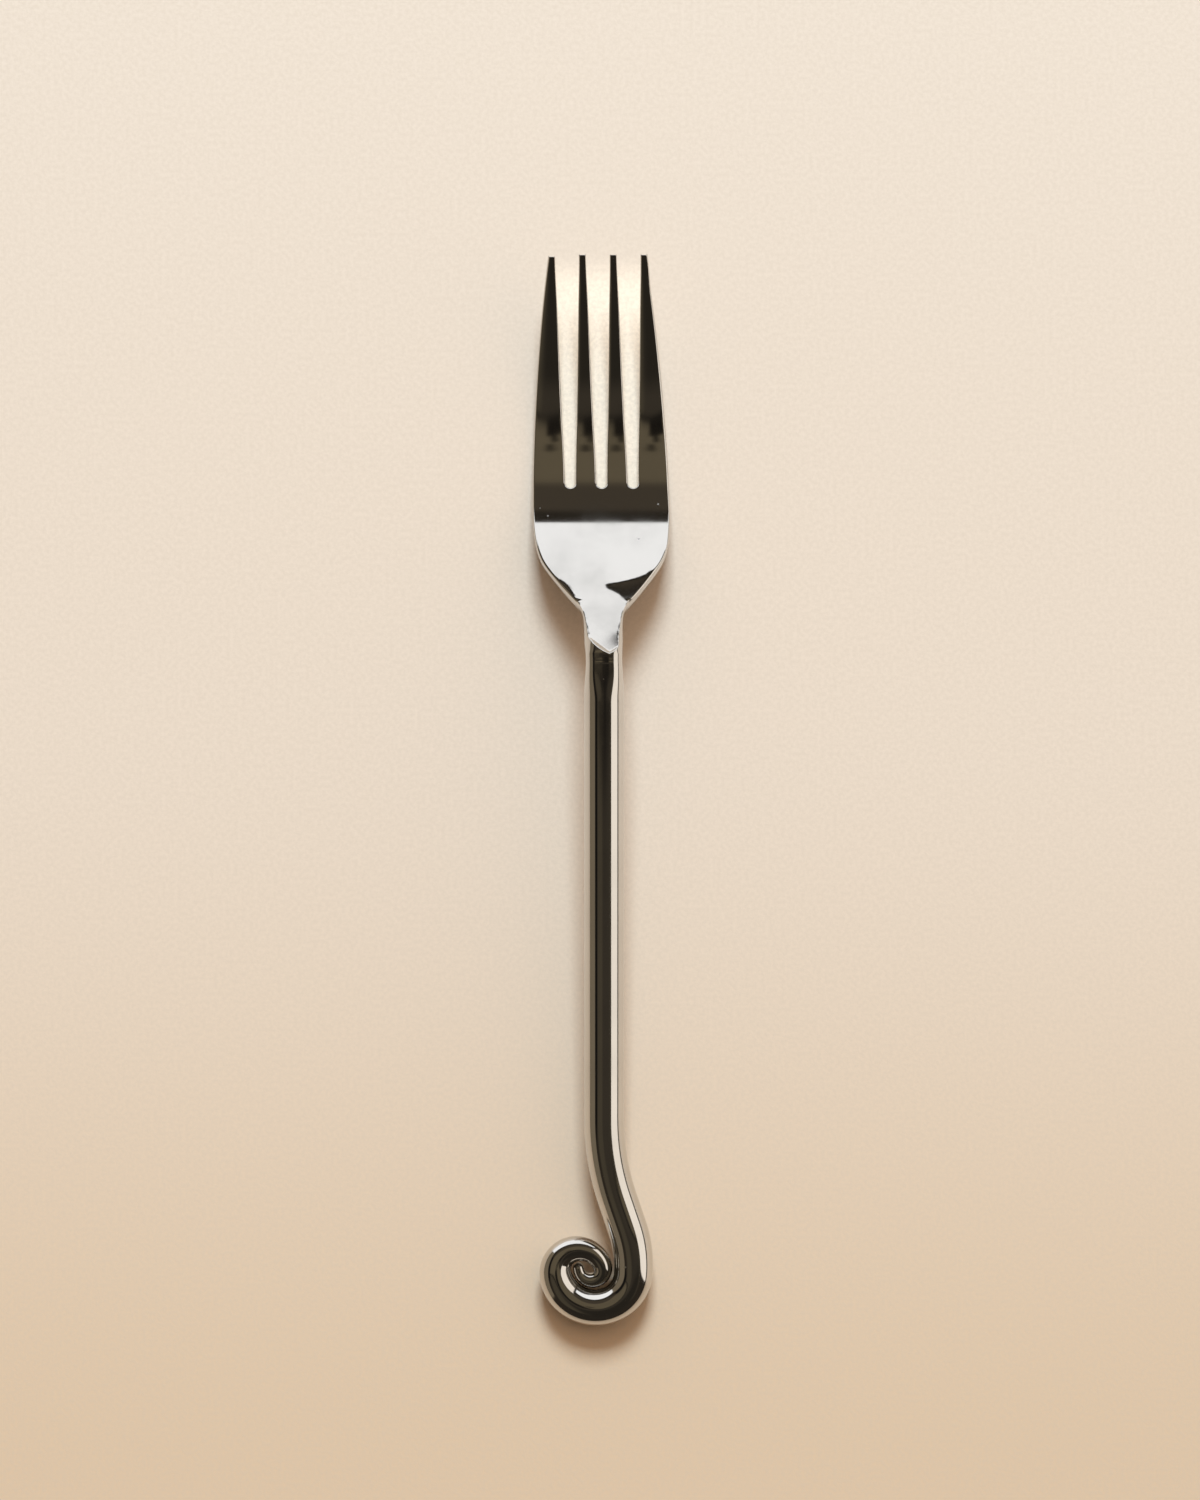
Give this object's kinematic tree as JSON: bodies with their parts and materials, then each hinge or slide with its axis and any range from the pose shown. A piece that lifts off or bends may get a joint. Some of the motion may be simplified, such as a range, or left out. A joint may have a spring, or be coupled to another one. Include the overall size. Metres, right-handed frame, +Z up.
{
  "type": "dinner fork",
  "caption": "Polished steel dinner fork: a tined head joined to a plain round bar handle that bends gently and winds back into a flat, tapering scroll.",
  "frame": {"origin": "on the table, below the middle of the fork's length and breadth", "axes": "+Z up from the table, +Y along the fork from the scroll to the tips, +X to the right seen from above with the tips away"},
  "size_m": [0.0264, 0.2048, 0.0182],
  "materials": {
    "polished_steel": "mirror polished stainless steel with faint wear",
    "filler_metal": "filler metal dressed flush and polished with the steel"
  },
  "bodies": {
    "root": {"head": "polished_steel", "handle": "polished_steel", "joint_ring": "filler_metal"}
  },
  "joints": []
}
